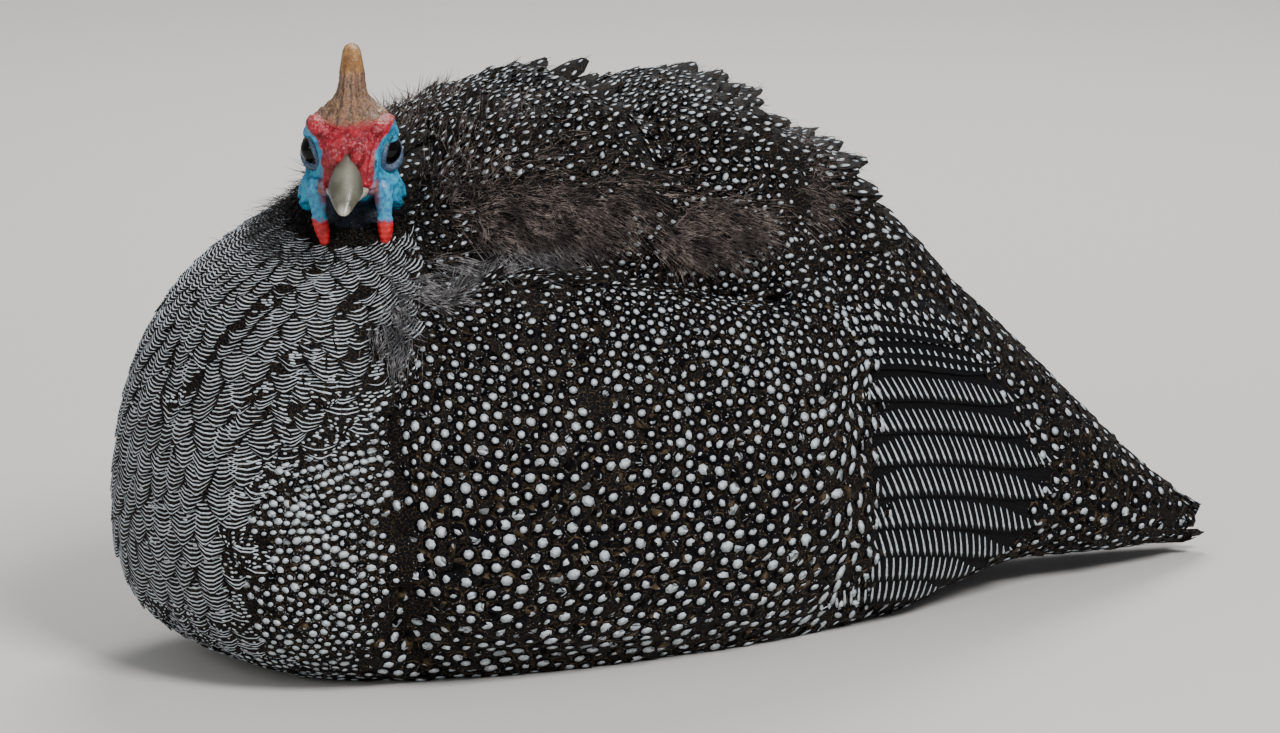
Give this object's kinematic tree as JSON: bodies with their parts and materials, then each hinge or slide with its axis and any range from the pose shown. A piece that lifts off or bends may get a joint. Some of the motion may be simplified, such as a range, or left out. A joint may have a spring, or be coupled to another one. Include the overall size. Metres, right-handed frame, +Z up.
{
  "type": "guinea fowl",
  "caption": "Helmeted guinea fowl, a still life-size model sitting on its belly with ruffled back feathers and the head turned to its left.",
  "frame": {"origin": "on the belly's flat, under the middle of the body, where the bird rests on the floor", "axes": "+Z up; the body faces -Y with the tail along +Y; +X is the bird's left"},
  "size_m": [0.2, 0.4463, 0.2205],
  "materials": {
    "spotted_feathers": "soft barbed feathers, near-black with pale round spots inside dark rings on fine brown-grey vermiculation",
    "barred_feathers": "firm smooth flight feathers, near-black with rows of oblique pale bars",
    "blue_skin": "bare turquoise skin, softly folded, slight sheen",
    "neck_skin": "dark blue skin under hair-like black feathers",
    "wattle_skin": "fleshy red skin with ringed folds, slight sheen",
    "bill_horn": "grey-olive horn, satin",
    "casque_horn": "amber horn with upright ridges, satin",
    "eye": "wet dark brown eye, glossy",
    "leg_scales": "dark grey scaled skin and blunt horn claws"
  },
  "bodies": {
    "root": {"torso": "spotted_feathers", "tail": "barred_feathers", "wing_left": "barred_feathers", "wing_right": "barred_feathers", "neck": "neck_skin", "head": "blue_skin", "casque": "casque_horn", "bill_upper": "bill_horn", "bill_lower": "bill_horn", "eye_left": "eye", "eye_right": "eye", "wattle_left": "wattle_skin", "wattle_right": "wattle_skin", "leg_left": "leg_scales", "leg_right": "leg_scales"}
  },
  "joints": []
}
